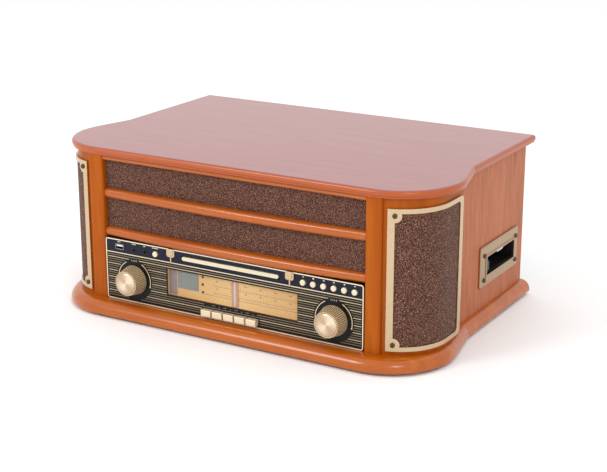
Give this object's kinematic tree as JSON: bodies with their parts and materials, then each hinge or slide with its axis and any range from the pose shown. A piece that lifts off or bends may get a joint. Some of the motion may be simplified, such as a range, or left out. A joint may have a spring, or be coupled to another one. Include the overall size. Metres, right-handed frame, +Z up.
{
  "type": "record player",
  "caption": "Retro wooden music centre with a hinged lid over a belt-drive turntable, a radio dial, a disc drawer, a side cassette slot and speaker grilles at its round front corners",
  "frame": {"origin": "under the middle of the cabinet, on the plane its feet stand on", "axes": "+X to the right as seen from the front, which is the right of the picture, +Y to the back, +Z up"},
  "size_m": [0.532, 0.354, 0.212],
  "materials": {
    "plinth_wood": "satin lacquer",
    "rail_wood": "satin lacquer",
    "veneer": "satin lacquered veneer, upright grain",
    "lid_wood": "satin lacquered veneer",
    "cloth": "woven speaker cloth with light flecks",
    "gilt": "pale satin brass",
    "panel_print": "dark with fine gilt lines",
    "clear": "clear",
    "dial_print": "printed tan scale",
    "pointer": "pale pointer",
    "display": "grey display",
    "steel": "plain",
    "knob_metal": "spun champagne face, ridged side",
    "rubber": "black",
    "board": "circuit board",
    "gilt_plastic": "pale gilt",
    "black_plastic": "black",
    "chrome": "polished",
    "screw": "bronzed",
    "black_board": "painted board",
    "socket_plastic": "black",
    "deck_plastic": "fine black grain",
    "platter_metal": "turned",
    "mat": "felt",
    "pulley": "turned",
    "arm_metal": "satin",
    "hinge_metal": "plated",
    "button": "pale gilt, domed",
    "key": "cream"
  },
  "bodies": {
    "cabinet": {"base_plinth": "plinth_wood", "cassette_bezel": "gilt", "cassette_guide_bar": "chrome", "cassette_mechanism": "black_plastic", "cd_mechanism": "black_plastic", "control_panel": "panel_print", "corner_walls": "veneer", "dial_scale": "dial_print", "dial_window": "clear", "drive_belt": "rubber", "drive_motor": "steel", "front_circuit_board": "board", "front_cloth_panel": "cloth", "front_posts": "rail_wood", "grille_cloths": "cloth", "grille_frames": "gilt", "lcd_display": "display", "lid_hinges_lower": "hinge_metal", "lower_rail": "rail_wood", "middle_rail": "rail_wood", "panel_ornaments": "gilt", "panel_sockets": "steel", "power_transformer": "steel", "rear_panel": "black_board", "rear_sockets": "socket_plastic", "rubber_feet": "rubber", "side_panel_left": "veneer", "side_panel_right": "veneer", "speaker_drivers": "black_plastic", "top_rail": "rail_wood", "trim_screws": "screw", "turntable_deck": "deck_plastic"},
    "lid": {"lid": "lid_wood", "lid_hinges_upper": "hinge_metal"},
    "platter": {"platter": "platter_metal", "slip_mat": "mat"},
    "motor_pulley": {"motor_pulley": "pulley"},
    "tonearm_yoke": {"tonearm_yoke": "arm_metal"},
    "tonearm": {"tonearm": "arm_metal"},
    "speed_lever": {"speed_lever": "deck_plastic"},
    "cd_tray": {"cd_tray": "gilt_plastic"},
    "volume_knob": {"volume_knob": "knob_metal"},
    "tuning_knob": {"tuning_knob": "knob_metal"},
    "dial_pointer": {"dial_pointer": "pointer"},
    "record_button": {"record_button": "button"},
    "cassette_eject_button": {"cassette_eject_button": "chrome"},
    "track_button_1": {"track_button_1": "button"},
    "track_button_2": {"track_button_2": "button"},
    "track_button_3": {"track_button_3": "button"},
    "track_button_4": {"track_button_4": "button"},
    "track_button_5": {"track_button_5": "button"},
    "track_button_6": {"track_button_6": "button"},
    "mode_key_1": {"mode_key_1": "key"},
    "mode_key_2": {"mode_key_2": "key"},
    "mode_key_3": {"mode_key_3": "key"},
    "mode_key_4": {"mode_key_4": "key"},
    "mode_key_5": {"mode_key_5": "key"}
  },
  "joints": [
    {"name": "lid_hinge", "type": "hinge", "parent": "cabinet", "child": "lid", "pos_m": [0, 0.1735, 0.2005], "axis": [-1, 0, 0], "range_deg": [0, 75]},
    {"name": "platter_spin", "type": "hinge", "parent": "cabinet", "child": "platter", "pos_m": [-0.055, 0.015, 0.165], "axis": [0, 0, 1], "continuous": true},
    {"name": "motor_spin", "type": "hinge", "parent": "cabinet", "child": "motor_pulley", "pos_m": [-0.09331, -0.09025, 0.165], "axis": [0, 0, 1], "continuous": true},
    {"name": "tonearm_swing", "type": "hinge", "parent": "cabinet", "child": "tonearm_yoke", "pos_m": [0.13, 0.0895, 0.177], "axis": [0, 0, -1], "range_deg": [0, 52]},
    {"name": "tonearm_lift", "type": "hinge", "parent": "tonearm_yoke", "child": "tonearm", "pos_m": [0.13, 0.0895, 0.186], "axis": [-1, 0, 0], "range_deg": [0, 3]},
    {"name": "speed_slide", "type": "slide", "parent": "cabinet", "child": "speed_lever", "axis": [0, 1, 0], "range_m": [-0.01, 0.01]},
    {"name": "cd_drawer", "type": "slide", "parent": "cabinet", "child": "cd_tray", "axis": [0, -1, 0], "range_m": [0, 0.125]},
    {"name": "volume_turn", "type": "hinge", "parent": "cabinet", "child": "volume_knob", "pos_m": [-0.1393, -0.16, 0.049], "axis": [0, 1, 0], "range_deg": [-150, 150]},
    {"name": "tuning_turn", "type": "hinge", "parent": "cabinet", "child": "tuning_knob", "pos_m": [0.1433, -0.16, 0.049], "axis": [0, 1, 0], "range_deg": [-330, 780]},
    {"name": "dial_slide", "type": "slide", "parent": "cabinet", "child": "dial_pointer", "axis": [1, 0, 0], "range_m": [-0.034, 0.08]},
    {"name": "record_press", "type": "slide", "parent": "cabinet", "child": "record_button", "axis": [0, 1, 0], "range_m": [0, 0.0012], "stiffness_N_per_m": 300, "springref_m": -0.001},
    {"name": "eject_press", "type": "slide", "parent": "cabinet", "child": "cassette_eject_button", "axis": [-1, 0, 0], "range_m": [0, 0.003], "stiffness_N_per_m": 300, "springref_m": -0.001},
    {"name": "track_press_1", "type": "slide", "parent": "cabinet", "child": "track_button_1", "axis": [0, 1, 0], "range_m": [0, 0.0012], "stiffness_N_per_m": 300, "springref_m": -0.001},
    {"name": "track_press_2", "type": "slide", "parent": "cabinet", "child": "track_button_2", "axis": [0, 1, 0], "range_m": [0, 0.0012], "stiffness_N_per_m": 300, "springref_m": -0.001},
    {"name": "track_press_3", "type": "slide", "parent": "cabinet", "child": "track_button_3", "axis": [0, 1, 0], "range_m": [0, 0.0012], "stiffness_N_per_m": 300, "springref_m": -0.001},
    {"name": "track_press_4", "type": "slide", "parent": "cabinet", "child": "track_button_4", "axis": [0, 1, 0], "range_m": [0, 0.0012], "stiffness_N_per_m": 300, "springref_m": -0.001},
    {"name": "track_press_5", "type": "slide", "parent": "cabinet", "child": "track_button_5", "axis": [0, 1, 0], "range_m": [0, 0.0012], "stiffness_N_per_m": 300, "springref_m": -0.001},
    {"name": "track_press_6", "type": "slide", "parent": "cabinet", "child": "track_button_6", "axis": [0, 1, 0], "range_m": [0, 0.0012], "stiffness_N_per_m": 300, "springref_m": -0.001},
    {"name": "mode_press_1", "type": "slide", "parent": "cabinet", "child": "mode_key_1", "axis": [0, 1, 0], "range_m": [0, 0.0025], "stiffness_N_per_m": 400, "springref_m": -0.001},
    {"name": "mode_press_2", "type": "slide", "parent": "cabinet", "child": "mode_key_2", "axis": [0, 1, 0], "range_m": [0, 0.0025], "stiffness_N_per_m": 400, "springref_m": -0.001},
    {"name": "mode_press_3", "type": "slide", "parent": "cabinet", "child": "mode_key_3", "axis": [0, 1, 0], "range_m": [0, 0.0025], "stiffness_N_per_m": 400, "springref_m": -0.001},
    {"name": "mode_press_4", "type": "slide", "parent": "cabinet", "child": "mode_key_4", "axis": [0, 1, 0], "range_m": [0, 0.0025], "stiffness_N_per_m": 400, "springref_m": -0.001},
    {"name": "mode_press_5", "type": "slide", "parent": "cabinet", "child": "mode_key_5", "axis": [0, 1, 0], "range_m": [0, 0.0025], "stiffness_N_per_m": 400, "springref_m": -0.001}
  ],
  "couplings": [
    {"joint": "motor_spin", "follows": "platter_spin", "ratio": 15},
    {"joint": "dial_slide", "follows": "tuning_turn", "m_per_rad": 0.0057}
  ]
}
